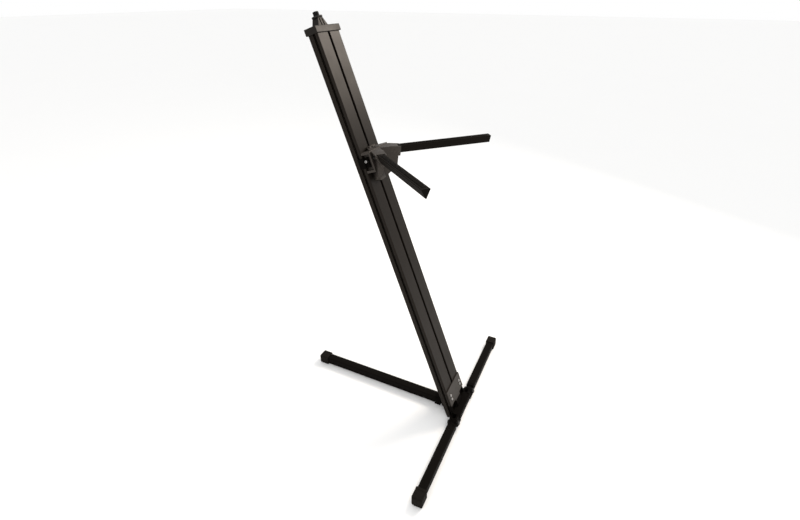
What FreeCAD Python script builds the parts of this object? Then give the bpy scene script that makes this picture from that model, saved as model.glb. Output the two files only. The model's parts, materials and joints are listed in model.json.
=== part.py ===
import FreeCAD, Part
import os
import re

import Sketcher

# A column keyboard stand for a musician: a slotted aluminium column that leans back over two short
# side legs and one long rear leg, with a tier bracket on the column that carries two arms.
#
# Two frames share one origin, the point where the side legs' axis meets the middle of the stand:
#   LEVEL  x to the right, y to the rear, z up
#   LEAN   the same turned back by lean_angle, so that its z runs up the column and its y through it
# The whole stand is then moved so that its origin is on the floor, under the middle of its box.

DIMENSIONS = {
    # column: one aluminium extrusion with a T-slot in its front and one in each side
    "lean_angle": 19.8,
    "column_width": 97.5,
    "column_depth": 30,
    "column_top": 1193.4,
    "column_foot": 3.3,
    "column_round": 2.5,
    "column_wall": 3.2,
    "face_setback": 4.6,
    "front_mouth": 10,
    "front_room": 18,
    "front_room_depth": 6.5,
    "slot_lip": 2.5,
    "side_mouth": 8.1,
    "side_mouth_depth": 11.75,
    "side_room": 12.6,
    "side_room_depth": 5.5,
    "rear_band": 8.4,
    "band_inset": 1.5,
    "notch_height": 42,
    "notch_depth": 8.4,
    # legs: square steel tube, with a moulded foot on each outer end
    "leg_size": 25.4,
    "leg_wall": 1.6,
    "leg_round": 3,
    "side_reach": 345.5,
    "rear_reach": 540.7,
    "foot_size": 31.8,
    "foot_length": 34,
    "foot_end": 2.5,
    "foot_round": 3,
    "seat_gap": 0.2,
    # hinges of the legs
    "pivot_x": 70,
    "pivot_radius": 4,
    "running_gap": 0.05,
    "eye_radius": 12.2,
    "eye_width": 12,
    "hinge_gap": 0.3,
    "lug_width": 5.9,
    "boss_start": 13.2,
    "boss_length": 12,
    "spigot_length": 30,
    "rear_eye_radius": 12,
    "rear_eye_width": 16,
    "rear_socket_end": 33.4,
    "rear_socket_size": 31,
    "rear_socket_floor": 18,
    "fold_gap": 0.6,
    "pin_radius": 2,
    "pin_inset": 15,
    # base hub, its cover and the bracket of the rear leg
    "spigot_top": 100,
    "cover_thick": 3,
    "cover_top": 94,
    "tongue_half": 17,
    "tongue_drop": 7.5,
    "recess_half": 12,
    "recess_x": 32,
    "recess_depth": 6.5,
    "recess_sink": 16,
    "cover_screw_x": 34.8,
    "cover_screw_low": 58.7,
    "cover_screw_high": 71.4,
    "screw_radius": 2,
    "screw_head": 4,
    "screw_head_height": 2.4,
    "screw_length": 17,
    "rear_plate_thick": 3.8,
    "rear_plate_half": 34,
    "rear_plate_low": 4,
    "rear_plate_high": 62,
    "rear_bolt_x": 25.5,
    "rear_bolt_low": 13,
    "rear_bolt_high": 48,
    "bolt_radius": 2.5,
    "bolt_head": 4.5,
    "bolt_head_height": 3,
    "bolt_length": 17,
    "washer_radius": 7.5,
    "washer_thick": 1.2,
    "pivot_head_height": 4.6,
    "pivot_head_across": 13,
    "pivot_nut_height": 6,
    # top cap and the fitting for a microphone boom
    "cap_side": 4.3,
    "cap_front": 3.9,
    "cap_rear": 3.4,
    "cap_height": 17,
    "cap_round": 1.6,
    "cap_plug": 18,
    "cap_screw_x": 24,
    "stud_radius": 7.94,
    "stud_root": 7.4,
    "stud_clear": 0.5,
    "stud_seat": 13,
    "stud_top": 55,
    "boom_back": 4,
    "boom_base_x": 42,
    "boom_base_y": 22,
    "boom_top_x": 20,
    "boom_top_y": 18,
    "boom_height": 22,
    "rib_x": 3.5,
    "rib_gap": 4,
    "rib_depth": 2.4,
    "nut_radius": 14,
    "nut_height": 4.6,
    "nut_lift": 0.3,
    # tier bracket
    "tier_height": 850,
    "tier_half": 28,
    "tier_out": 28,
    "tier_shelf": 6,
    "tier_skin": 4,
    "pocket_depth": 9.8,
    "slide_gap": 0.3,
    "keel_half": 14,
    "keel_out": 11,
    "keel_up": 36,
    "keel_down": 61,
    "jaw_half": 14,
    "jaw_out": 14,
    "jaw_block": 7,
    "jaw_bridge": 3,
    "jaw_plate": 1.8,
    "jaw_hook": 6,
    "jaw_screw_out": 8,
    "jaw_screw_lift": 4,
    "jaw_screw_radius": 3,
    "jaw_screw_head": 4.4,
    "jaw_screw_length": 16,
    "key_neck": 3,
    "key_head": 3.4,
    "key_screw_high": 31,
    "key_screw_low": 50,
    # arms: three-sided aluminium extrusions, flat side up
    "arm_x": 20.3,
    "arm_setback": 28.5,
    "arm_lift": 22.6,
    "arm_yaw": 40.8,
    "arm_rise": 1.85,
    "arm_length": 316.8,
    "arm_start": 2,
    "arm_width": 23.4,
    "arm_height": 25,
    "arm_wall": 2.2,
    "arm_round": 1.5,
    "arm_gap": 0.4,
    "arm_plug": 14,
    "arm_end": 3,
    "grip_width": 9,
    "grip_depth": 1.2,
    "grip_height": 2.4,
    "grip_start": 53,
    "grip_stop": 8,
    "socket_length": 49,
    "socket_wall": 2.6,
    "socket_roof": 5,
    "roof_start": 6,
    "trough_lip": 0.8,
    "web_half": 7,
    "web_top": 12,
    "web_chin": 27,
    "heel_t": 38,
    "heel_drop": 54,
    "toe_t": 12,
    "toe_drop": 79,
    "back_t": 24,
    "back_drop": 68,
    "set_screw_t": 30,
    "set_screw_drop": 9,
    "boss_radius": 5,
    "boss_rise": 1,
    "set_screw_radius": 2.5,
    "set_screw_tip": 3.6,
    # length of a cutting box that reaches past everything
    "beyond": 2000,
}

# Named formulas of the driving dimensions, used like them.
FORMULAS = {
    "axis_z": "foot_size / 2",
    "front_reach": "(lug_outer + washer_thick + pivot_head_height) * cos(lean_angle)"
                   " + pivot_head_across / 2 * sin(lean_angle)",
    "shift_y": "(front_reach - rear_reach) / 2",
    "half_width": "column_width / 2",
    "front_face": "face_setback",
    "rear_face": "face_setback + column_depth",
    "notch_back": "front_face + notch_depth",
    "front_room_back": "front_face + slot_lip + front_room_depth",
    "slot_axis": "front_face + side_mouth_depth",
    "side_room_x": "half_width - slot_lip - side_room_depth",
    "chamber_in": "front_room / 2 + column_wall",
    "chamber_out": "side_room_x - column_wall",
    "chamber_front": "front_face + column_wall",
    "chamber_back": "rear_face - column_wall",
    "core_front": "front_room_back + column_wall",
    "bore_radius": "pivot_radius + running_gap",
    "lug_inner": "eye_width / 2 + hinge_gap",
    "lug_outer": "eye_width / 2 + hinge_gap + lug_width",
    "boss_end": "boss_start + boss_length",
    "tube_inner": "leg_size - 2 * leg_wall",
    "rear_pivot_v": "rear_face + foot_size / 2 + fold_gap",
    "rear_pivot_u": "rear_pivot_v * tan(lean_angle)",
    "rear_pivot_y": "rear_pivot_v / cos(lean_angle)",
    "rear_lug_inner": "rear_eye_width / 2 + hinge_gap",
    "rear_lug_outer": "rear_eye_width / 2 + hinge_gap + lug_width",
    "cover_front": "front_face - cover_thick",
    "cap_top": "column_top + cap_height",
    "middle_v": "(front_face - cap_front + rear_face + cap_rear) / 2",
    "boom_v": "middle_v + boom_back",
    "nut_low": "cap_top + boom_height + nut_lift",
    "thread_low": "nut_low + nut_height + stud_clear",
    "tier_back": "front_face - slide_gap",
    "tier_front": "front_face - tier_out",
    "keel_front": "front_face - keel_out",
    "jaw_inner": "half_width - pocket_depth + slide_gap",
    "jaw_outer": "half_width + slide_gap + jaw_plate",
    "hook_half": "side_mouth / 2 - slide_gap",
    "jaw_head_x": "jaw_inner + jaw_block",
    "arm_u": "tier_height + arm_lift",
    "arm_v": "front_face - arm_setback",
    "arm_y": "(arm_u) * sin(lean_angle) + (arm_v) * cos(lean_angle)",
    "arm_z": "(arm_u) * cos(lean_angle) - (arm_v) * sin(lean_angle)",
    "arm_slant": "sqrt(arm_width ^ 2 / 4 + arm_height ^ 2)",
    "socket_half": "arm_width / 2 + arm_gap + boss_rise",
}

STILL = "rotationx(0)"
ALONG = {"x": "rotationy(90)", "y": "rotationx(-90)", "z": STILL}
LEVEL = "placement(vector(0; shift_y; axis_z); rotationx(0))"
LEAN = "placement(vector(0; shift_y; axis_z); rotationx(-lean_angle))"
TILT = "placement(vector(0; 0; 0); rotationx(-lean_angle))"

doc = FreeCAD.newDocument("KeyboardStand")
sheet = doc.addObject("Spreadsheet::Sheet", "dims")
for row, (name, value) in enumerate(DIMENSIONS.items(), start=1):
    sheet.set("A%d" % row, name)
    sheet.set("B%d" % row, str(value))
    sheet.setAlias("B%d" % row, name)
doc.recompute()

nodes = []
places = {}


def formula(text):
    """Write out the named formulas in a text, then point its names at the sheet."""
    def swap(match):
        word = match.group(0)
        if word in FORMULAS:
            return "(" + formula(FORMULAS[word]) + ")"
        return "dims." + word if word in DIMENSIONS else word
    return re.sub(r"(?<![\w.])[a-z][a-z_]*", swap, text)


def number(text):
    """The present value of an expression, as a plain number."""
    value = sheet.evalExpression(formula(text))
    return float(getattr(value, "Value", value))


def bind(item, **texts):
    for prop, text in texts.items():
        item.setExpression(prop, formula(text))


def spot(item, x, y, z, turn=STILL, frame=None):
    """Place an item at a point, turned, in a frame of its own if one is given."""
    text = "placement(vector(%s; %s; %s); %s)" % (x, y, z, turn)
    places[item.Name] = text if frame is None else frame + " * " + text
    bind(item, Placement=places[item.Name])
    return item


def box(x, y, z, frame=None):
    """A box between pairs of coordinates."""
    item = doc.addObject("Part::Box", "Box")
    bind(item, Length="(%s) - (%s)" % (x[1], x[0]), Width="(%s) - (%s)" % (y[1], y[0]),
         Height="(%s) - (%s)" % (z[1], z[0]))
    return spot(item, x[0], y[0], z[0], frame=frame)


def rod(radius, length, x, y, z, axis="z", frame=None):
    """A cylinder that starts at a point and runs along an axis."""
    item = doc.addObject("Part::Cylinder", "Rod")
    bind(item, Radius=radius, Height=length)
    return spot(item, x, y, z, ALONG[axis], frame)


def hexagon(across, length, x, y, z, axis="z", frame=None):
    item = doc.addObject("Part::Prism", "Hexagon")
    item.Polygon = 6
    bind(item, Circumradius="(%s) / 2 / cos(30)" % across, Height=length)
    return spot(item, x, y, z, ALONG[axis], frame)


def outline(points, length, radius=None, all_edges=False):
    """A body padded from a closed outline, with its long edges or all its edges rounded."""
    body = doc.addObject("PartDesign::Body", "Body")
    sketch = body.newObject("Sketcher::SketchObject", "Outline")
    plane = [item for item in body.Origin.OriginFeatures if item.Role == "XY_Plane"][0]
    sketch.AttachmentSupport = [(plane, "")]
    sketch.MapMode = "FlatFace"
    corners = [FreeCAD.Vector(number(x), number(y), 0) for x, y in points]
    count = len(points)
    for i in range(count):
        sketch.addGeometry(Part.LineSegment(corners[i], corners[(i + 1) % count]))
    for i in range(count):
        sketch.addConstraint(Sketcher.Constraint("Coincident", i, 2, (i + 1) % count, 1))
    for i, (x, y) in enumerate(points):
        across = ("DistanceX", "x", corners[i].x, x)
        upward = ("DistanceY", "y", corners[i].y, y)
        for kind, tag, value, text in (across, upward):
            index = sketch.addConstraint(Sketcher.Constraint(kind, -1, 1, i, 1, value))
            sketch.renameConstraint(index, "%s%d" % (tag, i))
            sketch.setExpression("Constraints.%s%d" % (tag, i), formula(text))
    pad = body.newObject("PartDesign::Pad", "Pad")
    pad.Profile = sketch
    bind(pad, Length=length)
    sketch.Visibility = False
    if radius is not None:
        doc.recompute()
        edges = ["Edge%d" % (k + 1) for k, edge in enumerate(pad.Shape.Edges)
                 if all_edges or abs(edge.tangentAt(edge.FirstParameter).z) > 0.99]
        fillet = body.newObject("PartDesign::Fillet", "Fillet")
        fillet.Base = (pad, edges)
        bind(fillet, Radius=radius)
    return body


def bar(width, depth, length, radius, all_edges=False):
    """A rounded rectangular bar along z, centred on its axis."""
    right, back = "(%s) / 2" % width, "(%s) / 2" % depth
    points = [("-" + right, "-" + back), (right, "-" + back), (right, back), ("-" + right, back)]
    return outline(points, length, radius, all_edges)


def triangle(inset):
    """The arm's three-sided outline, moved in by an inset (or out, if it is negative)."""
    half = "arm_width / 2 - (%s) * (arm_width / 2 + arm_slant) / arm_height" % inset
    tip = "(%s) * arm_slant * 2 / arm_width - arm_height" % inset
    return [("-(%s)" % half, "-(%s)" % inset), ("0", tip), (half, "-(%s)" % inset)]


def join(*items):
    fuse = doc.addObject("Part::MultiFuse", "Join")
    fuse.Shapes = list(items)
    return fuse


def cut(base, *tools):
    result = doc.addObject("Part::Cut", "Cut")
    result.Base = base
    result.Tool = tools[0] if len(tools) == 1 else join(*tools)
    return result


def group(*items):
    """Separate solids kept in one node, for identical fasteners."""
    compound = doc.addObject("Part::Compound", "Group")
    compound.Links = list(items)
    return compound


def node(label, item, frame):
    """Name a finished sub-part and place it in its frame."""
    item.Label = label
    inner = places.get(item.Name)
    bind(item, Placement=frame if inner is None else frame + " * " + inner)
    nodes.append(item)


def both(low, high):
    """The span of a value on the right side and its mirror on the left."""
    return {1: (low, high), -1: ("-(%s)" % high, "-(%s)" % low)}


def sided(side, text):
    return text if side > 0 else "-(%s)" % text


def centred(half):
    return ("-(%s)" % half, half)


def arm_frame(side):
    """An arm's own frame: z along the arm, y up, x across it."""
    return ("placement(vector(%s; arm_y; arm_z); rotationz(%d * arm_yaw) * rotationx(90 - arm_rise))"
            % (sided(side, "arm_x"), side))


SIDES = ((-1, "left"), (1, "right"))
PLUG_SPAN = {"front": "chamber_front + seat_gap", "back": "chamber_back - seat_gap"}


# ---- column ----------------------------------------------------------------------------------

def column():
    outer = bar("column_width", "column_depth", "column_top + column_foot", "column_round")
    spot(outer, "0", "front_face + column_depth / 2", "-column_foot")
    along = ("-column_foot - 1", "column_top + 1")
    tools = [
        box(centred("front_mouth / 2"), ("front_face - 1", "front_face + slot_lip + 1"), along),
        box(centred("front_room / 2"), ("front_face + slot_lip", "front_room_back"), along),
        box(centred("front_room / 2"), ("core_front", "chamber_back"), along),
        box(centred("half_width + 1"), ("front_face - 1", "notch_back"),
            ("-column_foot - 1", "notch_height")),
    ]
    for side, _ in SIDES:
        mouth = both("half_width - slot_lip - 1", "half_width + 1")[side]
        room = both("side_room_x", "half_width - slot_lip")[side]
        band = both("half_width - band_inset", "half_width + 1")[side]
        tools.append(box(mouth, ("slot_axis - side_mouth / 2", "slot_axis + side_mouth / 2"), along))
        tools.append(box(room, ("slot_axis - side_room / 2", "slot_axis + side_room / 2"), along))
        tools.append(box(band, ("rear_face - rear_band", "rear_face + 1"), along))
        tools.append(box(both("chamber_in", "chamber_out")[side], ("chamber_front", "chamber_back"), along))
        for height in ("cover_screw_low", "cover_screw_high"):
            tools.append(rod("screw_radius + seat_gap", "column_wall + 2", sided(side, "cover_screw_x"),
                             "front_face - 1", height, "y"))
        for height in ("rear_bolt_low", "rear_bolt_high"):
            tools.append(rod("bolt_radius + seat_gap", "column_wall + 2", sided(side, "rear_bolt_x"),
                             "rear_face - column_wall - 1", height, "y"))
        tools.append(rod("screw_radius + seat_gap", "column_wall + 2", sided(side, "cap_screw_x"),
                         "rear_face - column_wall - 1", "column_top - cap_plug / 2", "y"))
    node("column_extrusion", cut(outer, *tools), LEAN)


def chamber_plug(side, low, high):
    """A block that fills one of the column's two large chambers."""
    return box(both("chamber_in + seat_gap", "chamber_out - seat_gap")[side],
               (PLUG_SPAN["front"], PLUG_SPAN["back"]), (low, high), frame=TILT)


# ---- base hub --------------------------------------------------------------------------------

def base_hub():
    nose = bar("leg_size", "leg_size", "column_width", "leg_round")
    spot(nose, "-half_width", "0", "0", ALONG["x"])
    behind = box(centred("half_width + 1"), ("notch_back", "beyond"), ("-beyond", "beyond"), frame=TILT)
    solids = [
        cut(nose, behind),
        box(centred("half_width"), ("front_face", "notch_back"), ("-column_foot", "notch_height"),
            frame=TILT),
        box(centred("tongue_half"), ("0", "front_face"), ("0", "notch_height - tongue_drop"),
            frame=TILT),
    ]
    # the cover's tongue sits in the nose
    holes = [box(centred("tongue_half"), ("cover_front", "front_face"),
                 ("notch_height - tongue_drop", "notch_height"), frame=TILT)]
    for side, _ in SIDES:
        solids.append(chamber_plug(side, "-column_foot", "spigot_top"))
        for front, back in (("lug_inner", "lug_outer"), ("-(lug_outer)", "-(lug_inner)")):
            solids.append(box(both("half_width - 3", "pivot_x")[side], (front, back),
                              centred("eye_radius"), frame=TILT))
            solids.append(rod("eye_radius", "lug_width", sided(side, "pivot_x"), front, "0", "y", TILT))
        holes.append(rod("bore_radius", "4 * lug_outer", sided(side, "pivot_x"), "-2 * lug_outer", "0",
                         "y", TILT))
        holes.append(box(both("recess_x - recess_half", "recess_x + recess_half")[side],
                         ("0", "front_face + recess_depth"),
                         ("notch_height - tongue_drop - recess_sink", "notch_height - 1"), frame=TILT))
        for height in ("cover_screw_low", "cover_screw_high"):
            holes.append(rod("screw_radius", "screw_length", sided(side, "cover_screw_x"),
                             "cover_front", height, "y", TILT))
        for height in ("rear_bolt_low", "rear_bolt_high"):
            holes.append(rod("bolt_radius", "bolt_length", sided(side, "rear_bolt_x"),
                             "rear_face + rear_plate_thick - bolt_length", height, "y", TILT))
    node("base_hub", cut(join(*solids), *holes), LEVEL)


def front_cover():
    plate = box(centred("half_width"), ("cover_front", "front_face"), ("notch_height", "cover_top"))
    tongue = box(centred("tongue_half"), ("cover_front", "front_face"),
                 ("notch_height - tongue_drop", "notch_height + 1"))
    holes, screws = [], []
    for side, _ in SIDES:
        for height in ("cover_screw_low", "cover_screw_high"):
            x = sided(side, "cover_screw_x")
            holes.append(rod("screw_radius + seat_gap", "cover_thick + 2", x, "cover_front - 1", height,
                             "y"))
            screws.append(join(
                rod("screw_head", "screw_head_height", x, "cover_front - screw_head_height", height, "y"),
                rod("screw_radius", "screw_length", x, "cover_front", height, "y")))
    node("front_cover", cut(join(plate, tongue), *holes), LEAN)
    node("front_cover_screws", group(*screws), LEAN)


def rear_bracket():
    plate = box(centred("rear_plate_half"), ("rear_face", "rear_face + rear_plate_thick"),
                ("rear_plate_low", "rear_plate_high"))
    opening = box(centred("rear_socket_size / 2 + fold_gap"), ("rear_face - 1", "rear_pivot_v"),
                  ("rear_pivot_u + rear_eye_radius", "beyond"))
    solids, holes, bolts = [plate], [opening], []
    for side, _ in SIDES:
        lug = both("rear_lug_inner", "rear_lug_outer")[side]
        solids.append(box(lug, ("rear_face + 1", "rear_pivot_v"),
                          ("rear_pivot_u - rear_eye_radius", "rear_pivot_u + rear_eye_radius")))
        solids.append(rod("rear_eye_radius", "lug_width", lug[0], "rear_pivot_v", "rear_pivot_u", "x"))
        for height in ("rear_bolt_low", "rear_bolt_high"):
            x = sided(side, "rear_bolt_x")
            holes.append(rod("bolt_radius + seat_gap", "rear_plate_thick + 2", x, "rear_face - 1", height,
                             "y"))
            bolts.append(join(
                rod("bolt_head", "bolt_head_height", x, "rear_face + rear_plate_thick", height, "y"),
                rod("bolt_radius", "bolt_length", x, "rear_face + rear_plate_thick - bolt_length", height,
                    "y")))
    holes.append(rod("bore_radius", "4 * rear_lug_outer", "-2 * rear_lug_outer", "rear_pivot_v",
                     "rear_pivot_u", "x"))
    node("rear_hinge_bracket", cut(join(*solids), *holes), LEAN)
    node("rear_bracket_bolts", group(*bolts), LEAN)


# ---- hinge fasteners -------------------------------------------------------------------------

def pivot_set(half, x, y, z, axis):
    """Bolt, nut and two washers of a hinge whose lugs end a half length either side of a point."""
    def along(offset):
        place = {"x": x, "y": y, "z": z}
        place[axis] = "(%s) + (%s)" % (place[axis], offset)
        return place["x"], place["y"], place["z"]
    low, high = "-(%s)" % half, half
    bolt = join(
        hexagon("pivot_head_across", "pivot_head_height",
                *along("%s - washer_thick - pivot_head_height" % low), axis),
        rod("pivot_radius", "2 * (%s) + 2 * washer_thick + pivot_nut_height + 1.5" % half,
            *along("%s - washer_thick" % low), axis))
    nut = cut(hexagon("pivot_head_across", "pivot_nut_height", *along("%s + washer_thick" % high), axis),
              rod("pivot_radius", "pivot_nut_height + 2", *along("%s + washer_thick - 1" % high), axis))
    washers = [cut(rod("washer_radius", "washer_thick", *along(start), axis),
                   rod("bore_radius", "washer_thick + 2", *along("%s - 1" % start), axis))
               for start in ("%s - washer_thick" % low, high)]
    return bolt, nut, washers


def side_pivots():
    bolts, nuts, washers = [], [], []
    for side, _ in SIDES:
        bolt, nut, rings = pivot_set("lug_outer", sided(side, "pivot_x"), "0", "0", "y")
        bolts.append(bolt)
        nuts.append(nut)
        washers.extend(rings)
    node("side_pivot_bolts", group(*bolts), LEAN)
    node("side_pivot_nuts", group(*nuts), LEAN)
    node("side_pivot_washers", group(*washers), LEAN)


def rear_pivot():
    bolt, nut, washers = pivot_set("rear_lug_outer", "0", "rear_pivot_v", "rear_pivot_u", "x")
    node("rear_pivot_bolt", bolt, LEAN)
    node("rear_pivot_nut", nut, LEAN)
    node("rear_pivot_washers", group(*washers), LEAN)


# ---- legs ------------------------------------------------------------------------------------

def leg_bar(size, radius, low, high, side=None, all_edges=False):
    """A square bar on a leg's axis: along x for a side leg, along y for the rear leg."""
    piece = bar(size, size, "(%s) - (%s)" % (high, low), radius, all_edges)
    if side is None:
        return spot(piece, "0", low, "0", ALONG["y"])
    return spot(piece, both(low, high)[side][0], "0", "0", ALONG["x"])


def foot_cap(reach, side=None):
    shell = leg_bar("foot_size", "foot_round", "%s - foot_length" % reach, reach, side, all_edges=True)
    pocket = leg_bar("leg_size + 2 * seat_gap", "leg_round", "%s - foot_length - 1" % reach,
                     "%s - foot_end" % reach, side)
    return cut(shell, pocket)


def leg_pin(at, side=None):
    x, y = ("0", at) if side is None else (sided(side, at), "0")
    return rod("pin_radius", "leg_size", x, y, "-leg_size / 2")


def pin_hole(at, side=None):
    x, y = ("0", at) if side is None else (sided(side, at), "0")
    return rod("pin_radius", "leg_size + 20", x, y, "-leg_size / 2 - 10")


def side_leg(side, name):
    x = sided(side, "pivot_x")
    start = "pivot_x + boss_end"
    pin_x = "pivot_x + boss_end + pin_inset"
    knuckle = cut(
        join(rod("eye_radius", "eye_width", x, "-eye_width / 2", "0", "y", TILT),
             box(both("pivot_x", "pivot_x + boss_start + 2")[side], centred("eye_width / 2"),
                 centred("eye_radius - 2"), frame=TILT),
             leg_bar("leg_size", "leg_round", "pivot_x + boss_start", start, side),
             leg_bar("tube_inner - 2 * seat_gap", "leg_round - leg_wall", "%s - 1" % start,
                     "%s + spigot_length" % start, side)),
        rod("bore_radius", "eye_width + 2", x, "-eye_width / 2 - 1", "0", "y", TILT),
        pin_hole(pin_x, side))
    tube = cut(
        leg_bar("leg_size", "leg_round", start, "side_reach - foot_end", side),
        leg_bar("tube_inner", "leg_round - leg_wall", "%s - 1" % start, "side_reach", side),
        pin_hole(pin_x, side))
    node(name + "_leg_knuckle", knuckle, LEVEL)
    node(name + "_leg_tube", tube, LEVEL)
    node(name + "_leg_roll_pin", leg_pin(pin_x, side), LEVEL)
    node(name + "_foot_cap", foot_cap("side_reach", side), LEVEL)


def rear_leg():
    start = "rear_pivot_y + rear_socket_floor"
    pin_y = "rear_pivot_y + (rear_socket_floor + rear_socket_end) / 2"
    knuckle = cut(
        join(rod("rear_eye_radius", "rear_eye_width", "-rear_eye_width / 2", "rear_pivot_y", "0", "x"),
             box(centred("rear_eye_width / 2"), ("rear_pivot_y", "rear_pivot_y + boss_start + 3"),
                 centred("rear_eye_radius - 2")),
             leg_bar("rear_socket_size", "foot_round", "rear_pivot_y + boss_start + 1",
                     "rear_pivot_y + rear_socket_end")),
        leg_bar("leg_size + 2 * seat_gap", "leg_round", start, "rear_pivot_y + rear_socket_end + 1"),
        rod("bore_radius", "rear_eye_width + 2", "-rear_eye_width / 2 - 1", "rear_pivot_y", "0", "x"),
        pin_hole(pin_y))
    tube = cut(leg_bar("leg_size", "leg_round", start, "rear_reach - foot_end"),
               leg_bar("tube_inner", "leg_round - leg_wall", "%s - 1" % start, "rear_reach"),
               pin_hole(pin_y))
    node("rear_leg_knuckle", knuckle, LEVEL)
    node("rear_leg_tube", tube, LEVEL)
    node("rear_leg_roll_pin", leg_pin(pin_y), LEVEL)
    node("rear_foot_cap", foot_cap("rear_reach"), LEVEL)


# ---- top cap and boom fitting ----------------------------------------------------------------

def top_cap():
    lid = bar("column_width + 2 * cap_side", "column_depth + cap_front + cap_rear", "cap_height",
              "cap_round", all_edges=True)
    spot(lid, "0", "middle_v", "column_top")
    plugs = [box(both("chamber_in + seat_gap", "chamber_out - seat_gap")[side],
                 (PLUG_SPAN["front"], PLUG_SPAN["back"]), ("column_top - cap_plug", "column_top + 1"))
             for side, _ in SIDES]
    holes = [rod("stud_root", "stud_seat + 1", "0", "boom_v", "cap_top - stud_seat")]
    screws = []
    for side, _ in SIDES:
        x, u = sided(side, "cap_screw_x"), "column_top - cap_plug / 2"
        holes.append(rod("screw_radius", "screw_length", x, "rear_face - screw_length", u, "y"))
        screws.append(join(rod("screw_head", "screw_head_height", x, "rear_face", u, "y"),
                           rod("screw_radius", "screw_length", x, "rear_face - screw_length", u, "y")))
    node("top_cap", cut(join(lid, *plugs), *holes), LEAN)
    node("top_cap_screws", group(*screws), LEAN)


def boom_fitting():
    wedge = doc.addObject("Part::Wedge", "Wedge")
    bind(wedge, Xmin="-boom_base_x / 2", Xmax="boom_base_x / 2", Ymin="0", Ymax="boom_height",
         Zmin="-boom_base_y / 2", Zmax="boom_base_y / 2", X2min="-boom_top_x / 2", X2max="boom_top_x / 2",
         Z2min="-boom_top_y / 2", Z2max="boom_top_y / 2")
    spot(wedge, "0", "boom_v", "cap_top", "rotationx(90)")
    holes = [rod("stud_root", "boom_height + 2", "0", "boom_v", "cap_top - 1")]
    for side, _ in SIDES:
        for front in (-1, 1):
            depth = both("boom_top_y / 2 - rib_depth + 1", "boom_base_y")[front]
            holes.append(box(both("rib_x", "rib_x + rib_gap")[side],
                             ("boom_v + " + depth[0], "boom_v + " + depth[1]),
                             ("cap_top + 2", "cap_top + boom_height - 2")))
    node("boom_mount_bracket", cut(wedge, *holes), LEAN)
    # the root runs up through the nut, and the stud's free end takes the boom
    node("boom_stud", join(
        rod("stud_root", "thread_low - cap_top + stud_seat", "0", "boom_v", "cap_top - stud_seat"),
        rod("stud_radius", "column_top + stud_top - thread_low", "0", "boom_v", "thread_low")), LEAN)
    node("boom_lock_nut", cut(rod("nut_radius", "nut_height", "0", "boom_v", "nut_low"),
                              rod("stud_radius + running_gap", "nut_height + 2", "0", "boom_v",
                                  "nut_low - 1")), LEAN)


# ---- tier bracket ----------------------------------------------------------------------------

def tier_z(low, high):
    return ("tier_height + (%s)" % low, "tier_height + (%s)" % high)


def socket_fin(side):
    """One arm's trough: a V that runs back to the column, open above the arm, on a narrow web."""
    frame = arm_frame(side)
    shell = outline(triangle("-(arm_gap + socket_wall)"), "socket_length + back_t")
    spot(shell, "0", "0", "-back_t", STILL, frame)
    points = [("-back_t", "-web_top"), ("socket_length - web_half", "-web_top"),
              ("socket_length - web_half", "-web_chin"), ("heel_t", "-heel_drop"), ("toe_t", "-toe_drop"),
              ("-back_t", "-back_drop")]
    web = spot(outline(points, "2 * web_half"), "web_half", "0", "0", "rotationy(-90)", frame)
    # a round boss for the set screw, on the side away from the other arm
    boss = rod("boss_radius", "socket_half", both("0", "socket_half")[side][0], "-set_screw_drop",
               "set_screw_t", "x", frame)
    sky = [("roof_start", "socket_roof"), ("socket_length + 1", "-trough_lip"),
           ("socket_length + 1", "beyond"), ("roof_start", "beyond")]
    above = spot(outline(sky, "4 * socket_half"), "2 * socket_half", "0", "0", "rotationy(-90)", frame)
    return cut(join(shell, web, boss), above)


def arm_bore(side):
    bore = outline(triangle("-arm_gap"), "socket_length + 10")
    return spot(bore, "0", "0", "arm_start - 0.5", STILL, arm_frame(side))


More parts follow.
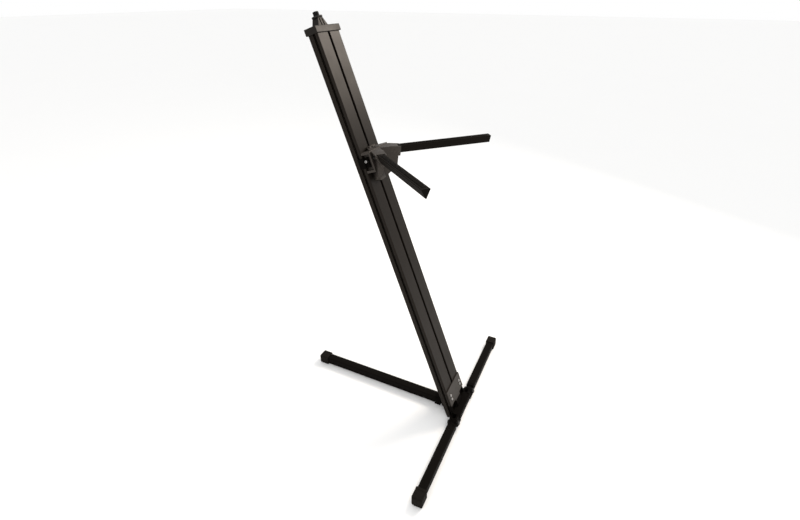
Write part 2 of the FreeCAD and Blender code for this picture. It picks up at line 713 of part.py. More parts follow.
def tier_bracket():
    body = box(centred("half_width"), ("tier_front", "tier_back"), tier_z("-tier_half", "tier_half"), TILT)
    keel = box(centred("keel_half"), ("keel_front", "tier_back"), tier_z("-keel_down", "keel_up"), TILT)
    solids, tools, set_screws, key_screws = [body, keel], [], [], []
    tools.append(box(("-beyond", "beyond"), ("tier_back", "beyond"), ("-beyond", "beyond"), TILT))
    for side, _ in SIDES:
        solids.append(socket_fin(side))
        tools.append(arm_bore(side))
        tools.append(box(both("half_width - pocket_depth", "half_width + 1")[side],
                         ("tier_front + tier_skin", "front_face"),
                         tier_z("tier_shelf - tier_half", "tier_half - tier_shelf"), TILT))
        tools.append(rod("jaw_screw_radius", "jaw_screw_length + 1",
                         both("jaw_head_x - jaw_screw_length", "jaw_head_x + 1")[side][0],
                         "front_face - jaw_screw_out", "tier_height + jaw_screw_lift", "x", TILT))
        tip = both("socket_half - set_screw_tip", "socket_half")[side]
        head = both("socket_half", "socket_half + screw_head_height")[side]
        tools.append(rod("set_screw_radius", "set_screw_tip + 1", tip[0] if side > 0 else "%s - 1" % tip[0],
                         "-set_screw_drop", "set_screw_t", "x", arm_frame(side)))
        set_screws.append(join(
            rod("set_screw_radius", "set_screw_tip", tip[0], "-set_screw_drop", "set_screw_t", "x",
                arm_frame(side)),
            rod("screw_head", "screw_head_height", head[0], "-set_screw_drop", "set_screw_t", "x",
                arm_frame(side))))
    for height in ("key_screw_high", "-key_screw_low"):
        u = "tier_height + " + height
        tools.append(rod("screw_radius", "keel_out + 2", "0", "keel_front - 1", u, "y", TILT))
        # room for the head, and a straight way in for the driver
        tools.append(rod("screw_head + seat_gap", "beyond", "0", "keel_front - beyond", u, "y", TILT))
        key_screws.append(join(
            rod("screw_head", "screw_head_height", "0", "keel_front - screw_head_height", u, "y"),
            rod("screw_radius", "keel_out + key_neck", "0", "keel_front", u, "y")))
    node("tier_bracket", cut(join(*solids), *tools), LEVEL)
    node("arm_set_screws", group(*set_screws), LEVEL)
    node("slot_key_screws", group(*key_screws), LEAN)


def slot_key():
    """The guide that runs in the column's front slot."""
    span = tier_z("-keel_down", "keel_up")
    neck = box(centred("front_mouth / 2 - slide_gap"),
               ("tier_back", "front_face + slot_lip + slide_gap + 1"), span)
    head = box(centred("front_room / 2 - 1"), ("front_face + slot_lip + slide_gap",
                                                "front_face + slot_lip + slide_gap + key_head"), span)
    holes = [rod("screw_radius", "key_neck + slide_gap + 1", "0", "tier_back - 1", "tier_height + " + u, "y")
             for u in ("key_screw_high", "-key_screw_low")]
    node("slot_key", cut(join(neck, head), *holes), LEAN)


def clamp_jaw(side, name):
    """A hooked jaw: its screw pulls the hook in the column's side slot against the bracket."""
    span = tier_z("-jaw_half", "jaw_half")
    face = "front_face - slide_gap"
    solids = [
        box(both("jaw_inner", "jaw_head_x")[side], ("front_face - jaw_out", face), span),
        box(both("jaw_inner", "jaw_outer")[side], ("%s - jaw_bridge" % face, face), span),
        box(both("half_width + slide_gap", "jaw_outer")[side],
            ("%s - 1" % face, "slot_axis + hook_half"), span),
        box(both("half_width - jaw_hook", "jaw_outer")[side],
            ("slot_axis - hook_half", "slot_axis + hook_half"), span),
    ]
    y, u = "front_face - jaw_screw_out", "tier_height + jaw_screw_lift"
    hole = rod("jaw_screw_radius + seat_gap", "jaw_block + 2",
               both("jaw_inner - 1", "jaw_head_x + 1")[side][0], y, u, "x")
    node(name + "_clamp_jaw", cut(join(*solids), hole), LEAN)
    head = rod("jaw_screw_head", "jaw_screw_head",
               both("jaw_head_x", "jaw_head_x + jaw_screw_head")[side][0], y, u, "x")
    shank = rod("jaw_screw_radius", "jaw_screw_length",
                both("jaw_head_x - jaw_screw_length", "jaw_head_x")[side][0], y, u, "x")
    return join(head, shank)


def clamp_jaws():
    screws = [clamp_jaw(side, name) for side, name in SIDES]
    node("clamp_jaw_screws", group(*screws), LEAN)


# ---- arms ------------------------------------------------------------------------------------

def arm(side, name):
    frame = LEVEL + " * " + arm_frame(side)
    start, stop = "arm_start", "arm_length - arm_end"
    length = "%s - %s" % (stop, start)
    outer = spot(outline(triangle("0"), length, "arm_round"), "0", "0", start)
    inner = spot(outline(triangle("arm_wall"), "%s + 2" % length), "0", "0", "%s - 1" % start)
    groove = box(centred("grip_width / 2"), ("-grip_depth", "1"), ("grip_start", "arm_length - grip_stop"))
    grip = box(centred("grip_width / 2"), ("-grip_depth", "grip_height - grip_depth"),
               ("grip_start", "arm_length - grip_stop"))
    cap = join(spot(outline(triangle("0"), "arm_end", "arm_round"), "0", "0", stop),
               spot(outline(triangle("arm_wall + seat_gap"), "arm_plug + 1"), "0", "0",
                    "%s - arm_plug" % stop))
    node(name + "_arm", cut(outer, inner, groove), frame)
    node(name + "_arm_grip", grip, frame)
    node(name + "_arm_cap", cap, frame)


column()
base_hub()
front_cover()
rear_bracket()
side_pivots()
rear_pivot()
for leg_side, leg_name in SIDES:
    side_leg(leg_side, leg_name)
rear_leg()
top_cap()
boom_fitting()
tier_bracket()
slot_key()
clamp_jaws()
for arm_side, arm_name in SIDES:
    arm(arm_side, arm_name)
doc.recompute()

# ---- checks and export -----------------------------------------------------------------------

for item in doc.Objects:
    if "Invalid" in item.State or "Error" in item.State:
        raise RuntimeError("failed feature: %s %s" % (item.Name, item.Label))
os.makedirs("parts", exist_ok=True)
for item in nodes:
    if item.Shape.isNull() or not item.Shape.isValid() or not item.Shape.Solids:
        raise RuntimeError("bad shape: " + item.Label)
for item in nodes:
    item.Shape.exportStep("parts/%s.step" % item.Label)
    print("%-22s %d solid(s) %10.0f mm3" % (item.Label, len(item.Shape.Solids), item.Shape.Volume))
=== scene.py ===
"""Column keyboard stand: the looks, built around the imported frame. Metres, +Z up."""

import json
import math

import bmesh
import bpy
from mathutils import Matrix, Vector


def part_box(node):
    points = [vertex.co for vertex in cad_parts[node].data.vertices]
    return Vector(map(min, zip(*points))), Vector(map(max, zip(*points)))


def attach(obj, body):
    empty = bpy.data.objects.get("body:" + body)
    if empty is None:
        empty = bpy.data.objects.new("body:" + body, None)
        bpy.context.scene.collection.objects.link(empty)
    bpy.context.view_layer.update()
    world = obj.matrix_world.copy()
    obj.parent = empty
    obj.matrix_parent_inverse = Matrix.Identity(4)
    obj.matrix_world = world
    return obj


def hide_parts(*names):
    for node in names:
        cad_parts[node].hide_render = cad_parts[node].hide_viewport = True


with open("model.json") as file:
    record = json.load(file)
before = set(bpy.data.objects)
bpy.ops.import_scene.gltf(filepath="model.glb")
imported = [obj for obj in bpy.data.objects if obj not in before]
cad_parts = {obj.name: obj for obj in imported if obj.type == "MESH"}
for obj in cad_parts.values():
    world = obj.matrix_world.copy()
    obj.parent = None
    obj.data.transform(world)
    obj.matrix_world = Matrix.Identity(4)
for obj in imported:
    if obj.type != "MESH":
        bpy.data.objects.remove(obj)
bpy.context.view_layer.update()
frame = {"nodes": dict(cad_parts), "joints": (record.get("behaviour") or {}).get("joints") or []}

MM = 0.001
WARM = (1.0, 0.93, 0.86, 1.0)
JOINTS = {joint["name"]: joint for joint in frame["joints"]}
NODES = frame["nodes"]

# The column leans: ACROSS, BACK and ALONG are its own axes, and HEEL is on the side legs' line.
ACROSS = Vector((1, 0, 0))
ALONG = Vector(JOINTS["tier_height"]["axis"])
BACK = ALONG.cross(ACROSS)
HEEL = Vector((0, *JOINTS["right_leg_fold"]["pos_m"][1:]))
ARMS = {side: Vector(JOINTS[side + "_arm_pull"]["axis"]) for side in ("left", "right")}
LEGS = {"left": Vector((-1, 0, 0)), "right": Vector((1, 0, 0)), "rear": Vector((0, 1, 0))}


# ---- reading the frame -----------------------------------------------------------------------

def axes_about(axis, hint=Vector((0, 0, 1))):
    """Three axes as rows, the third along axis."""
    third = axis.normalized()
    first = hint.cross(third).normalized()
    return Matrix((first, third.cross(first), third))


def solids(node):
    """The corner points of each separate solid of a CAD node."""
    mesh = bmesh.new()
    mesh.from_mesh(NODES[node].data)
    bmesh.ops.remove_doubles(mesh, verts=mesh.verts, dist=0.001 * MM)
    left, found = set(mesh.verts), []
    while left:
        reach, island = [left.pop()], []
        while reach:
            vert = reach.pop()
            island.append(vert.co.copy())
            for edge in vert.link_edges:
                other = edge.other_vert(vert)
                if other in left:
                    left.remove(other)
                    reach.append(other)
        found.append(island)
    mesh.free()
    return sorted(found, key=lambda points: tuple(round(c, 4) for c in sum(points, Vector()) / len(points)))


def extent(points, axes):
    """Lowest and highest corner of some points, measured along axes."""
    turned = [axes @ point for point in points]
    low = Vector(min(point[i] for point in turned) for i in range(3))
    return low, Vector(max(point[i] for point in turned) for i in range(3))


def fastener(points, axes):
    """Centre under the head, way out through the head, and sizes of one turned or hexagonal solid."""
    low, high = extent(points, axes)
    middle = (low + high) / 2
    turned = [axes @ point - middle for point in points]
    reaches = [(Vector(point[:2]).length, point.z) for point in turned]
    widest = max(reach for reach, height in reaches)
    head = [height for reach, height in reaches if reach > 0.8 * widest]
    shank = [reach for reach, height in reaches if 0.1 * widest < reach < 0.75 * widest]
    sign = 1 if sum(head) / len(head) > 0 else -1
    start = min(head) if sign > 0 else max(head)
    home = axes.transposed() @ (middle + Vector((0, 0, start)))
    return {"home": home, "way": axes[2] * sign, "radius": widest, "height": max(head) - min(head),
            "shank": max(shank, default=0), "length": high.z - low.z - (max(head) - min(head))}


# ---- mesh building ---------------------------------------------------------------------------

def loft(rings, start=True, end=True):
    """Points and faces of a skin over rings that have equal numbers of points."""
    count = len(rings[0])
    points = [point for ring in rings for point in ring]
    faces = []
    for level in range(len(rings) - 1):
        for i in range(count):
            j = (i + 1) % count
            low, high = level * count, (level + 1) * count
            faces.append((low + i, low + j, high + j, high + i))
    if start:
        faces.append(tuple(reversed(range(count))))
    if end:
        faces.append(tuple(range(len(points) - count, len(points))))
    return points, faces


def circle(radius, height, count=48):
    """A ring about +Z. radius is a length, or a function of the angle."""
    turn = [math.tau * i / count for i in range(count)]
    reach = [radius(a) if callable(radius) else radius for a in turn]
    return [(r * math.cos(a), r * math.sin(a), height) for r, a in zip(reach, turn)]


def standing(home, way):
    """The matrix that puts a piece built about +Z at home, pointing along way."""
    return Matrix.Translation(home) @ axes_about(way, Vector((0.3, 0.2, 1))).transposed().to_4x4()


def piece(name, parts, body, material, replaced, sharp=35):
    """One shown piece: parts are (points, faces, matrix), and it stands for the replaced nodes."""
    points, faces = [], []
    for part_points, part_faces, matrix in parts:
        first = len(points)
        points += [matrix @ Vector(point) for point in part_points]
        faces += [tuple(first + i for i in face) for face in part_faces]
    mesh = bpy.data.meshes.new(name)
    mesh.from_pydata(points, [], faces)
    cleaner = bmesh.new()
    cleaner.from_mesh(mesh)
    bmesh.ops.recalc_face_normals(cleaner, faces=cleaner.faces)
    cleaner.to_mesh(mesh)
    cleaner.free()
    mesh.shade_smooth()
    mesh.set_sharp_from_angle(angle=math.radians(sharp))
    mesh.materials.append(material)
    made = bpy.data.objects.new(name, mesh)
    bpy.context.scene.collection.objects.link(made)
    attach(made, body)
    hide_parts(*replaced)


# ---- materials -------------------------------------------------------------------------------

class Finish:
    """A principled material, with short ways to add the nodes that its surface needs."""

    def __init__(self, name, roughness, specular, metallic=0.0):
        self.material = bpy.data.materials.new(name)
        self.material.use_nodes = True
        self.tree = self.material.node_tree
        self.shader = self.tree.nodes["Principled BSDF"]
        self.shader.inputs["Metallic"].default_value = metallic
        self.shader.inputs["Specular IOR Level"].default_value = specular
        if not metallic:
            self.shader.inputs["Specular Tint"].default_value = WARM
        self.shader.inputs["Roughness"].default_value = roughness
        self.place = self.add("ShaderNodeTexCoord").outputs["Object"]

    def add(self, kind, links=(), **values):
        node = self.tree.nodes.new(kind)
        for key, value in values.items():
            setattr(node, key, value)
        for socket, value in dict(links).items():
            if isinstance(value, bpy.types.NodeSocket):
                self.tree.links.new(value, node.inputs[socket])
            else:
                node.inputs[socket].default_value = value
        return node

    def stretched(self, along, squeeze):
        """Coordinates whose third axis runs along a direction, and is squeezed to draw long streaks."""
        turn = along.to_track_quat("Z", "Y").inverted().to_euler()
        turned = self.add("ShaderNodeMapping", {"Vector": self.place, "Rotation": turn})
        return self.add("ShaderNodeVectorMath", {0: turned.outputs[0], 1: (1, 1, squeeze)},
                        operation="MULTIPLY").outputs[0]

    def noise(self, scale, place=None, detail=4.0, roughness=0.55):
        return self.add("ShaderNodeTexNoise", {"Vector": place or self.place, "Scale": scale,
                                               "Detail": detail, "Roughness": roughness}).outputs["Fac"]

    def between(self, fac, low, high, start=0.3, stop=0.7):
        """A number that runs from low to high as fac runs from start to stop."""
        return self.add("ShaderNodeMapRange", {"Value": fac, "From Min": start, "From Max": stop,
                                               "To Min": low, "To Max": high}).outputs["Result"]

    def mix(self, fac, first, second):
        mixed = self.add("ShaderNodeMix", {"Factor": fac}, data_type="RGBA")
        for socket, value in ((6, first), (7, second)):
            if isinstance(value, bpy.types.NodeSocket):
                self.tree.links.new(value, mixed.inputs[socket])
            else:
                mixed.inputs[socket].default_value = (*value, 1)
        return mixed.outputs[2]

    def edges(self, radius):
        """1 on a worn edge, 0 on a flat, from how far a rounded normal turns from the true one."""
        rounded = self.add("ShaderNodeBevel", {"Radius": radius}, samples=4).outputs[0]
        flat = self.add("ShaderNodeNewGeometry").outputs["Normal"]
        dot = self.add("ShaderNodeVectorMath", {0: rounded, 1: flat}, operation="DOT_PRODUCT")
        return rounded, self.between(dot.outputs["Value"], 1.0, 0.0, start=0.80, stop=0.99)

    def finish(self, colour, roughness=None, bumps=(), normal=None):
        self.tree.links.new(colour, self.shader.inputs["Base Color"])
        if roughness is not None:
            self.tree.links.new(roughness, self.shader.inputs["Roughness"])
        for height, strength, distance in bumps:
            links = {"Height": height, "Strength": strength, "Distance": distance}
            if normal is not None:
                links["Normal"] = normal
            normal = self.add("ShaderNodeBump", links).outputs[0]
        if normal is not None:
            self.tree.links.new(normal, self.shader.inputs["Normal"])
        return self.material


def anodised(name, along, specular, shade, smooth):
    """Black anodised aluminium: long drawing lines, cloudy gloss, edges rubbed a little lighter."""
    made = Finish(name, 0.4, specular)

    def tone(level):
        return tuple(shade * level * c for c in (1.0, 0.80, 0.64))

    lines = made.noise(2600, made.stretched(along, squeeze=0.004), detail=3)
    bands = made.noise(150, made.stretched(along, squeeze=0.01), detail=2)
    cloud = made.noise(9, detail=5)
    rounded, worn = made.edges(0.8 * MM)
    base = made.mix(bands, tone(0.0125), tone(0.0175))
    base = made.mix(made.between(lines, 0, 0.35), base, tone(0.024))
    base = made.mix(made.between(worn, 0, 0.7, start=0.0, stop=1.0), base, tone(0.110))
    gloss = made.between(cloud, smooth, smooth + 0.1)
    return made.finish(base, gloss, [(lines, 0.10, 0.02 * MM), (bands, 0.05, 0.05 * MM)], rounded)


def powder_coat(name, specular, shade, gloss, grain, depth):
    """Black powder coat: orange peel, fine speckle, paler worn edges. gloss is its roughness."""
    made = Finish(name, gloss, specular)
    base_low = tuple(shade * c for c in (1.0, 0.83, 0.70))
    base_high = tuple(1.5 * c for c in base_low)
    peel = made.noise(grain, detail=3)
    speckle = made.noise(4 * grain, detail=2)
    cloud = made.noise(14, detail=5)
    rounded, worn = made.edges(0.7 * MM)
    base = made.mix(cloud, base_low, base_high)
    base = made.mix(made.between(speckle, 0, 0.4, start=0.45, stop=0.75), base,
                    tuple(1.7 * c for c in base_high))
    base = made.mix(made.between(worn, 0, 0.5, start=0.0, stop=1.0), base, tuple(3.5 * c for c in base_high))
    shine = made.between(peel, gloss - 0.05, gloss + 0.07)
    return made.finish(base, shine, [(peel, 0.28, depth), (speckle, 0.12, depth / 4)], rounded)


def moulded(name, specular, shade):
    """Black moulded plastic: fine eroded grain, with a few rubbed spots."""
    made = Finish(name, 0.45, specular)
    grain = made.add("ShaderNodeTexVoronoi", {"Vector": made.place, "Scale": 1500}).outputs["Distance"]
    cloud = made.noise(22, detail=5)
    rounded, worn = made.edges(0.5 * MM)
    low = tuple(shade * c for c in (1.0, 0.85, 0.72))
    base = made.mix(cloud, low, tuple(1.5 * c for c in low))
    base = made.mix(made.between(worn, 0, 0.5, start=0.0, stop=1.0), base, tuple(3.5 * c for c in low))
    return made.finish(base, made.between(cloud, 0.42, 0.55), [(grain, 0.22, 0.06 * MM)], rounded)


def rubber(name):
    """Matt black rubber: dusty bloom in patches, slightly pitted skin."""
    made = Finish(name, 0.75, 0.05)
    pits = made.noise(1800, detail=3)
    bloom = made.noise(45, detail=6, roughness=0.7)
    clean, dusty = (0.0070, 0.0060, 0.0050), (0.0140, 0.0120, 0.0102)
    base = made.mix(made.between(bloom, 0, 1, start=0.42, stop=0.72), clean, dusty)
    return made.finish(base, made.between(bloom, 0.62, 0.82), [(pits, 0.25, 0.07 * MM)])


def steel(name, dark, light, low, high):
    """Turned steel with a fine mottled gloss; dark for black oxide, light for zinc."""
    made = Finish(name, low, 0.5, metallic=1.0)
    mottle = made.noise(420, detail=5)
    stain = made.noise(70, detail=4)
    rounded, worn = made.edges(0.25 * MM)
    base = made.mix(mottle, dark, light)
    base = made.mix(made.between(worn, 0, 0.4, start=0.0, stop=1.0), base,
                    tuple(min(1.0, 1.6 * c) for c in light))
    return made.finish(base, made.between(stain, low, high), [(mottle, 0.10, 0.02 * MM)], rounded)


def floor_finish():
    made = Finish("floor", 0.9, 0.1)
    cloud = made.noise(1.5, detail=3)
    return made.finish(made.mix(cloud, (0.95, 0.95, 0.945), (0.96, 0.96, 0.955)))


# Specular levels and shades are set to the photograph's tones, well below those of real coatings.
CASTING = {"grain": 1100, "depth": 0.16 * MM}
COLUMN = anodised("anodised_column", ALONG, specular=0.08, shade=0.75, smooth=0.34)
# The arms' anodising is a darker copy of the column's: its lower shade is painted shade, for the dimmer
# light on their grazing faces.
ARM = {side: anodised("anodised_arm_painted_shade_" + side, axis, specular=0.02, shade=0.45, smooth=0.52)
       for side, axis in ARMS.items()}
CAST = powder_coat("cast_black", specular=0.25, shade=0.024, gloss=0.50, **CASTING)
# A far darker copy of the cast powder coat, as painted shade on the hub, knuckles, hinge bracket and clamp
# jaws.
HUB_PAINTED_SHADE = powder_coat("hub_black_painted_shade", specular=0.02, shade=0.0022, gloss=0.60, **CASTING)
TUBE = powder_coat("painted_tube", specular=0.02, shade=0.0035, gloss=0.52, grain=700, depth=0.08 * MM)
# A darker copy of the cast powder coat: painted shade, to take down the key light on the boom bracket.
BOOM_PAINTED_SHADE = powder_coat("boom_black_painted_shade", specular=0.10, shade=0.007, gloss=0.45, **CASTING)
PLASTIC = moulded("moulded_plastic", specular=0.26, shade=0.019)
# The top cap and the arm caps take darker copies of the moulded plastic: painted shade.
TOP_CAP_PAINTED_SHADE = moulded("moulded_top_cap_painted_shade", specular=0.14, shade=0.0085)
ARM_CAP_PAINTED_SHADE = moulded("moulded_arm_cap_painted_shade", specular=0.02, shade=0.005)
RUBBER = rubber("black_rubber")
OXIDE = steel("black_steel", (0.020, 0.0188, 0.0178), (0.042, 0.040, 0.038), 0.34, 0.50)
ZINC = steel("bright_steel", (0.28, 0.275, 0.265), (0.42, 0.41, 0.40), 0.26, 0.40)


# ---- turned and hexagonal hardware -----------------------------------------------------------

def hexagon(across):
    """Reach of a hexagon at an angle, across its flats."""
    return lambda a: across / 2 / math.cos((a % (math.pi / 3)) - math.pi / 6)


def cross(radius):
    """Reach of a cross recess: four arms that thin towards their ends."""
    return lambda a: radius * (0.30 + 0.70 * abs(math.cos(2 * a)) ** 6)


def socket(radius):
    """Reach of a hexagon socket."""
    return hexagon(1.7 * radius)


def screw_mesh(size, recess):
    """A domed head with a recess in it, on a shank, from the shank's tip to the recess's floor."""
    radius, height, shank, tip = size["radius"], size["height"], size["shank"], -size["length"]
    dome, steps, deep = math.radians(62), 5, 0.6
    flat, swell = 0.42, 0.58
    side, rise = 0.38, 0.62
    rings = []
    if shank:
        rings = [circle(0.7 * shank, tip), circle(shank, tip + 0.4 * shank), circle(shank, 0)]
    rings += [circle(0.96 * radius, 0), circle(radius, 0.08 * height), circle(radius, side * height)]
    for step in range(1, steps + 1):
        a = step / steps * dome
        reach = radius * (flat + swell * math.cos(a))
        rings.append(circle(reach, height * (side + rise * math.sin(a) / math.sin(dome))))
    rings += [circle(lambda a: 1.08 * recess(a), height), circle(recess, 0.95 * height),
              circle(lambda a: 0.86 * recess(a), (1 - deep) * height)]
    return loft(rings)


def hexagon_mesh(size):
    """A hexagonal head or nut whose corners are turned off at 30 degrees, with its bolt."""
    across, height = size["radius"] * math.sqrt(3), size["height"]
    shank, tip = size["shank"], -size["length"]
    slope, count = math.tan(math.radians(30)), 72

    def turned(top):
        return [(x, y, abs(z - slope * (math.hypot(x, y) - across / 2) * (1 if top else -1)))
                for x, y, z in circle(hexagon(across), height if top else 0, count)]

    rings = []
    if shank:
        rings = [circle(0.82 * shank, tip, count), circle(shank, tip + 0.25 * shank, count),
                 circle(shank, 0, count)]
    rings += [circle(0.47 * across, 0, count), turned(False), turned(True),
              circle(0.48 * across, height, count)]
    return loft(rings)


def ring_mesh(inner, outer, height, edge):
    """A flat ring with rubbed edges, such as a washer."""
    outline = [(inner, edge), (inner + edge, 0), (outer - edge, 0), (outer, edge), (outer, height - edge),
               (outer - edge, height), (inner + edge, height), (inner, height - edge)]
    return loft([circle(r, z) for r, z in outline + outline[:1]], start=False, end=False)


def screws(node, axes, recess_share, shape, body, material):
    """Screws whose recess has a shape, and a share of the head's radius."""
    parts = []
    for points in solids(node):
        size = fastener(points, axes)
        mesh = screw_mesh(size, shape(recess_share * size["radius"]))
        parts.append((*mesh, standing(size["home"], size["way"])))
    piece(node + "_detail", parts, body, material, [node])


def hexagons(node, axes, body):
    """Hexagon bolts or nuts."""
    parts = [(*hexagon_mesh(size), standing(size["home"], size["way"]))
             for size in (fastener(points, axes) for points in solids(node))]
    piece(node + "_detail", parts, body, OXIDE, [node])


def washers(node, axes, bore, body):
    """Washers round a bolt, with a bore of their own."""
    parts = []
    for points in solids(node):
        low, high = extent(points, axes)
        middle = axes.transposed() @ Vector(((low.x + high.x) / 2, (low.y + high.y) / 2, low.z))
        mesh = ring_mesh(bore, (high.x - low.x) / 2, high.z - low.z, edge=0.15 * MM)
        parts.append((*mesh, standing(middle, axes[2])))
    piece(node + "_detail", parts, body, OXIDE, [node])


def hardware():
    """Every screw, bolt, nut and washer that the frame gives as a plain solid."""
    into_column, level = axes_about(BACK, ACROSS), axes_about(ACROSS)
    cross_share, socket_share, play = 0.60, 0.50, 0.15 * MM
    screws("front_cover_screws", into_column, cross_share, cross, "column", ZINC)
    screws("top_cap_screws", into_column, cross_share, cross, "column", OXIDE)
    screws("rear_bracket_bolts", into_column, socket_share, socket, "column", OXIDE)
    screws("slot_key_screws", into_column, cross_share, cross, "tier", OXIDE)
    screws("clamp_jaw_screws", level, socket_share, socket, "tier", ZINC)
    hexagons("side_pivot_bolts", into_column, "column")
    hexagons("side_pivot_nuts", into_column, "column")
    hexagons("rear_pivot_bolt", level, "column")
    hexagons("rear_pivot_nut", level, "column")
    bore = fastener(solids("rear_pivot_bolt")[0], level)["shank"] + play
    washers("side_pivot_washers", into_column, bore, "column")
    washers("rear_pivot_washers", level, bore, "column")


# ---- boom fitting ----------------------------------------------------------------------------

def boom_thread():
    """The stud: a plain root in cap and nut, then a 27 threads per inch helix with a turned end."""
    axes = axes_about(ALONG, BACK)
    corners = [axes @ point for point in solids("boom_stud")[0]]
    low, high = extent(corners, Matrix.Identity(3))
    centre = (low + high) / 2
    reaches = [(math.hypot(point.x - centre.x, point.y - centre.y), point.z - low.z) for point in corners]
    radius, length = (high.x - low.x) / 2, high.z - low.z
    root = max(reach for reach, height in reaches if height < MM)
    start = min(height for reach, height in reaches if reach > (root + radius) / 2)
    pitch, depth, steps, count = 25.4 / 27 * MM, 0.55 * MM, 8, 48
    taper, inset, chamfer = 1.2 * MM, 0.1 * MM, 0.5 * MM

    def reach(height):
        """The thread grows out of the root over its first turn, and tapers at its end."""
        grow = min(1.0, (height - start) / pitch)
        lead = max(0.0, height - (length - taper))

        def at(a):
            phase = (height / pitch - a / math.tau) % 1.0
            crest = radius - depth * abs(2 * phase - 1) - lead
            return root - inset + grow * (crest - root + inset)
        return at

    rings = [circle(root - chamfer, 0, count), circle(root, chamfer, count), circle(root, start, count)]
    turns = int((length - start) / pitch * steps)
    heights = [start + (length - start) * i / turns for i in range(1, turns + 1)]
    rings += [circle(reach(height), height, count) for height in heights]
    home = axes.transposed() @ Vector((centre.x, centre.y, low.z))
    piece("boom_stud_thread", [(*loft(rings), standing(home, ALONG))], "column", OXIDE,
          ["boom_stud"], sharp=25)


def boom_nut():
    """The flange nut: a knurled rim between two turned edges."""
    axes = axes_about(ALONG, BACK)
    low, high = extent(solids("boom_lock_nut")[0], axes)
    radius, height, bore = (high.x - low.x) / 2, high.z - low.z, 8.1 * MM
    teeth, tooth, edge, count = 40, 0.45 * MM, 0.7 * MM, 240

    def rim(a):
        return radius - tooth * abs(math.sin(teeth * a / 2))

    outline = [(bore, edge), (bore + edge, 0), (radius - 2 * edge, 0), (radius - edge, 0.4 * edge),
               (rim, edge), (rim, height - edge), (radius - edge, height - 0.4 * edge),
               (radius - 2 * edge, height), (bore + edge, height), (bore, height - edge)]
    mesh = loft([circle(r, z, count) for r, z in outline + outline[:1]], start=False, end=False)
    home = axes.transposed() @ Vector(((low.x + high.x) / 2, (low.y + high.y) / 2, low.z))
    piece("boom_lock_nut_knurled", [(*mesh, standing(home, ALONG))], "lock_nut",
          OXIDE, ["boom_lock_nut"])


# ---- feet, grips and pins --------------------------------------------------------------------

def rounded_square(half, corner, height, sole):
    """A ring with round corners about +Z. Its -Y side has lengthwise grooves, sole deep."""
    flat, count, ticks, pitch = half - corner, 10, 25, 3.4 * MM
    ring = []
    for quarter in range(4):
        turn = math.pi / 2 * quarter
        mid = Vector((math.cos(turn + math.pi / 4), math.sin(turn + math.pi / 4))) * flat * math.sqrt(2)
        for step in range(count + 1):
            a = turn + math.pi / 2 * step / count
            ring.append((mid.x + corner * math.cos(a), mid.y + corner * math.sin(a), height))
        if quarter == 2:
            for step in range(1, ticks):
                x = -flat + 2 * flat * step / ticks
                ring.append((x, -half + sole * (0.5 - 0.5 * math.cos(math.tau * x / pitch)), height))
    return ring


def foot_caps():
    """Moulded rubber caps: a thin lip round the tube, a shallow band, a crowned end, a grooved sole."""
    for name, out in LEGS.items():
        node = name + "_foot_cap"
        low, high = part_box(node)
        centre = (low + high) / 2
        half, length = (high.z - low.z) / 2, abs((high - low).dot(out))
        tube = extent(solids(name + "_leg_tube")[0], axes_about(out))
        bore = (tube[1].y - tube[0].y) / 2
        crown, steps, band = 4.5 * MM, 6, 7.0 * MM
        corner, edge, waist, groove = 3.6 * MM, 0.9 * MM, 0.6 * MM, 0.8 * MM
        # half width, corner radius, height and depth of the sole's grooves
        outline = [(bore - 0.3 * MM, 1.2 * MM, 0, 0), (bore + 0.2 * MM, 1.2 * MM, 0, 0),
                   (half - edge, 3.0 * MM, 0, 0), (half, corner, edge, 0),
                   (half, corner, band, 0), (half - waist, 3.2 * MM, band + 0.5 * MM, 0),
                   (half - waist, 3.2 * MM, band + 1.5 * MM, 0), (half, corner, band + 2.0 * MM, 0),
                   (half, corner, band + 3.0 * MM, groove),
                   (half, corner, length - crown - 2.0 * MM, groove)]
        rings = [rounded_square(*ring) for ring in outline]
        for step in range(steps + 1):
            a = math.pi / 2 * step / steps
            rings.append(rounded_square(half - crown * (1 - math.cos(a)), corner + waist * math.sin(a),
                                        length - crown * (1 - math.sin(a)), 0))
        start = centre - out * (length / 2)
        matrix = Matrix.Translation(start) @ axes_about(out).transposed().to_4x4()
        piece(node + "_moulded", [(*loft(rings, start=False), matrix)], name + "_leg",
              RUBBER, [node], sharp=40)


def arm_grips():
    """A ribbed rubber strip along the top of each arm."""
    for side, out in ARMS.items():
        node = side + "_arm_grip"
        axes = axes_about(out)
        low, high = extent(solids(node)[0], axes)
        width, thick, length = high.x - low.x, high.y - low.y, high.z - low.z
        ribs, count, end, groove = 5, 60, 1.5 * MM, 0.55 * MM

        def section(height, keep):
            """The ribbed outline, with keep of its thickness, as the strip's ends are rounded off."""
            dips = [groove * (0.5 - 0.5 * math.cos(math.tau * ribs * i / count)) for i in range(count + 1)]
            top = [(width * (0.5 - i / count), (thick - dip) * keep) for i, dip in enumerate(dips)]
            return [(x * (0.9 + 0.1 * keep), y, height)
                    for x, y in top + [(-width / 2, 0), (width / 2, 0)]]

        rings = [section(0, 0.35), section(end / 2, 0.85), section(end, 1), section(length - end, 1),
                 section(length - end / 2, 0.85), section(length, 0.35)]
        corner = axes.transposed() @ Vector(((low.x + high.x) / 2, low.y, low.z))
        matrix = Matrix.Translation(corner) @ axes.transposed().to_4x4()
        piece(node + "_ribbed", [(*loft(rings), matrix)], side + "_arm", RUBBER,
              [node], sharp=50)


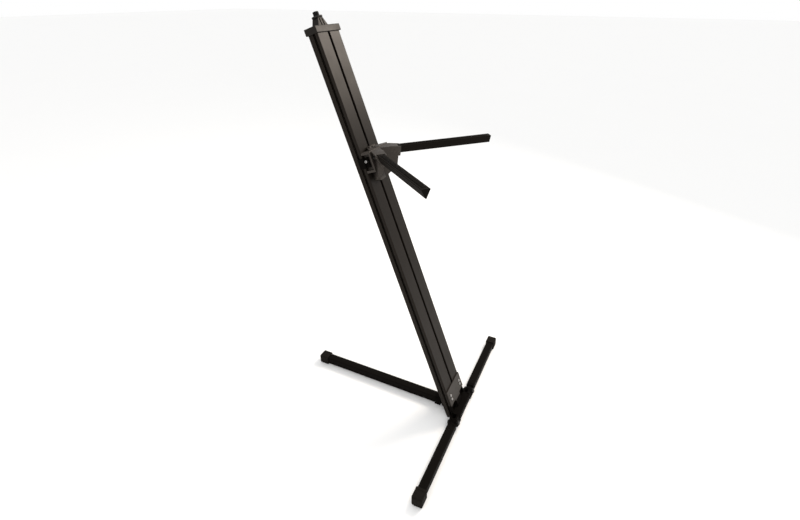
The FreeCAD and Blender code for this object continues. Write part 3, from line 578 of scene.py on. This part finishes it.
def roll_pins():
    """Slit spring pins: a rolled strip with tapered ends."""
    for name in LEGS:
        node = name + "_leg_roll_pin"
        points = solids(node)[0]
        axes = axes_about(Vector((0, 0, 1)), ACROSS)
        low, high = extent(points, axes)
        radius, length, slit, count = (high.x - low.x) / 2, high.z - low.z, math.radians(14), 40
        bore, nose = 0.62, 0.82

        def section(height, share):
            sweep = [slit + (math.tau - 2 * slit) * i / count for i in range(count + 1)]
            outer = [(share * radius * math.cos(a), share * radius * math.sin(a), height) for a in sweep]
            inner = [(bore * radius * math.cos(a), bore * radius * math.sin(a), height)
                     for a in reversed(sweep)]
            return outer + inner

        taper = min(0.6 * radius, 0.1 * length)
        rings = [section(0, nose), section(taper, 1), section(length - taper, 1), section(length, nose)]
        home = axes.transposed() @ Vector(((low.x + high.x) / 2, (low.y + high.y) / 2, low.z))
        matrix = Matrix.Translation(home) @ axes.transposed().to_4x4()
        piece(node + "_rolled", [(*loft(rings), matrix)], name + "_leg", OXIDE, [node])


# ---- finishes of the carried-over nodes ------------------------------------------------------

def paint_nodes():
    """Give each carried-over node its finish: by name, by family, and else black oxide."""
    # Among these, the arms, arm caps, top cap and boom bracket take darker copies of their finishes, as
    # painted shade.
    finishes = {"column_extrusion": COLUMN, "left_arm": ARM["left"], "right_arm": ARM["right"],
                "left_arm_cap": ARM_CAP_PAINTED_SHADE, "right_arm_cap": ARM_CAP_PAINTED_SHADE, "top_cap": TOP_CAP_PAINTED_SHADE,
                "front_cover": PLASTIC, "slot_key": PLASTIC, "tier_bracket": CAST,
                "boom_mount_bracket": BOOM_PAINTED_SHADE}
    # These parts take the darker copy of the cast powder coat, which is painted shade.
    hub = ("base_hub", "rear_hinge_bracket", "left_leg_knuckle", "right_leg_knuckle", "rear_leg_knuckle",
           "left_clamp_jaw", "right_clamp_jaw")
    for name, node in NODES.items():
        finish = finishes.get(name)
        if finish is None:
            finish = (HUB_PAINTED_SHADE if name in hub else TUBE if "tube" in name
                      else RUBBER if "grip" in name or "foot" in name else OXIDE)
        node.data.materials.clear()
        node.data.materials.append(finish)


# ---- studio ----------------------------------------------------------------------------------

def camera():
    """The photograph's view: from the front left, a little above the column's top."""
    place = HEEL + Vector((-1.0416, -0.3235, 1.2115))
    yaw, pitch, roll = 1.14318, -0.43265, 0.0042
    ahead = Vector((math.cos(pitch) * math.sin(yaw), math.cos(pitch) * math.cos(yaw), math.sin(pitch)))
    level = Vector((math.cos(yaw), -math.sin(yaw), 0))
    rise = level.cross(ahead)
    right = math.cos(roll) * level + math.sin(roll) * rise
    up = math.cos(roll) * rise - math.sin(roll) * level
    data = bpy.data.cameras.new("view")
    data.sensor_width, data.lens = 36, 20.745
    data.shift_x, data.shift_y = -0.0247, -0.0679
    data.clip_end = 100
    made = bpy.data.objects.new("view", data)
    made.matrix_world = Matrix.Translation(place) @ Matrix((right, up, -ahead)).transposed().to_4x4()
    bpy.context.scene.collection.objects.link(made)
    bpy.context.scene.camera = made


def soft_light(name, place, target, size, watts, colour=(1, 1, 1)):
    data = bpy.data.lights.new(name, "AREA")
    data.shape, data.size, data.energy = "DISK", size, watts
    data.color = colour
    made = bpy.data.objects.new(name, data)
    made.location = place
    made.rotation_euler = (Vector(place) - Vector(target)).to_track_quat("Z", "Y").to_euler()
    bpy.context.scene.collection.objects.link(made)


def studio():
    """A white floor and world, a warm key light at the stand's front right, and a weak fill."""
    half = 30
    corners = [(-half, -half, 0), (half, -half, 0), (half, half, 0), (-half, half, 0)]
    mesh = bpy.data.meshes.new("floor")
    mesh.from_pydata(corners, [], [(0, 1, 2, 3)])
    mesh.materials.append(floor_finish())
    floor = bpy.data.objects.new("floor", mesh)
    bpy.context.scene.collection.objects.link(floor)
    world = bpy.data.worlds.new("studio")
    world.use_nodes = True
    background = world.node_tree.nodes["Background"].inputs
    background["Color"].default_value = (1, 1, 1, 1)
    background["Strength"].default_value = 1.0
    bpy.context.scene.world = world
    bpy.context.scene.view_settings.view_transform = "Standard"
    top = HEEL + ALONG * 1.2
    soft_light("key", top + Vector((0.807, -0.486, 0.334)) * 2.0, top, size=0.9, watts=42,
               colour=(1.0, 0.90, 0.80))
    soft_light("fill", (-1.6, -1.6, 1.8), (0, 0, 0.6), size=1.2, watts=6)


camera()
studio()
paint_nodes()
hardware()
boom_thread()
boom_nut()
foot_caps()
arm_grips()
roll_pins()
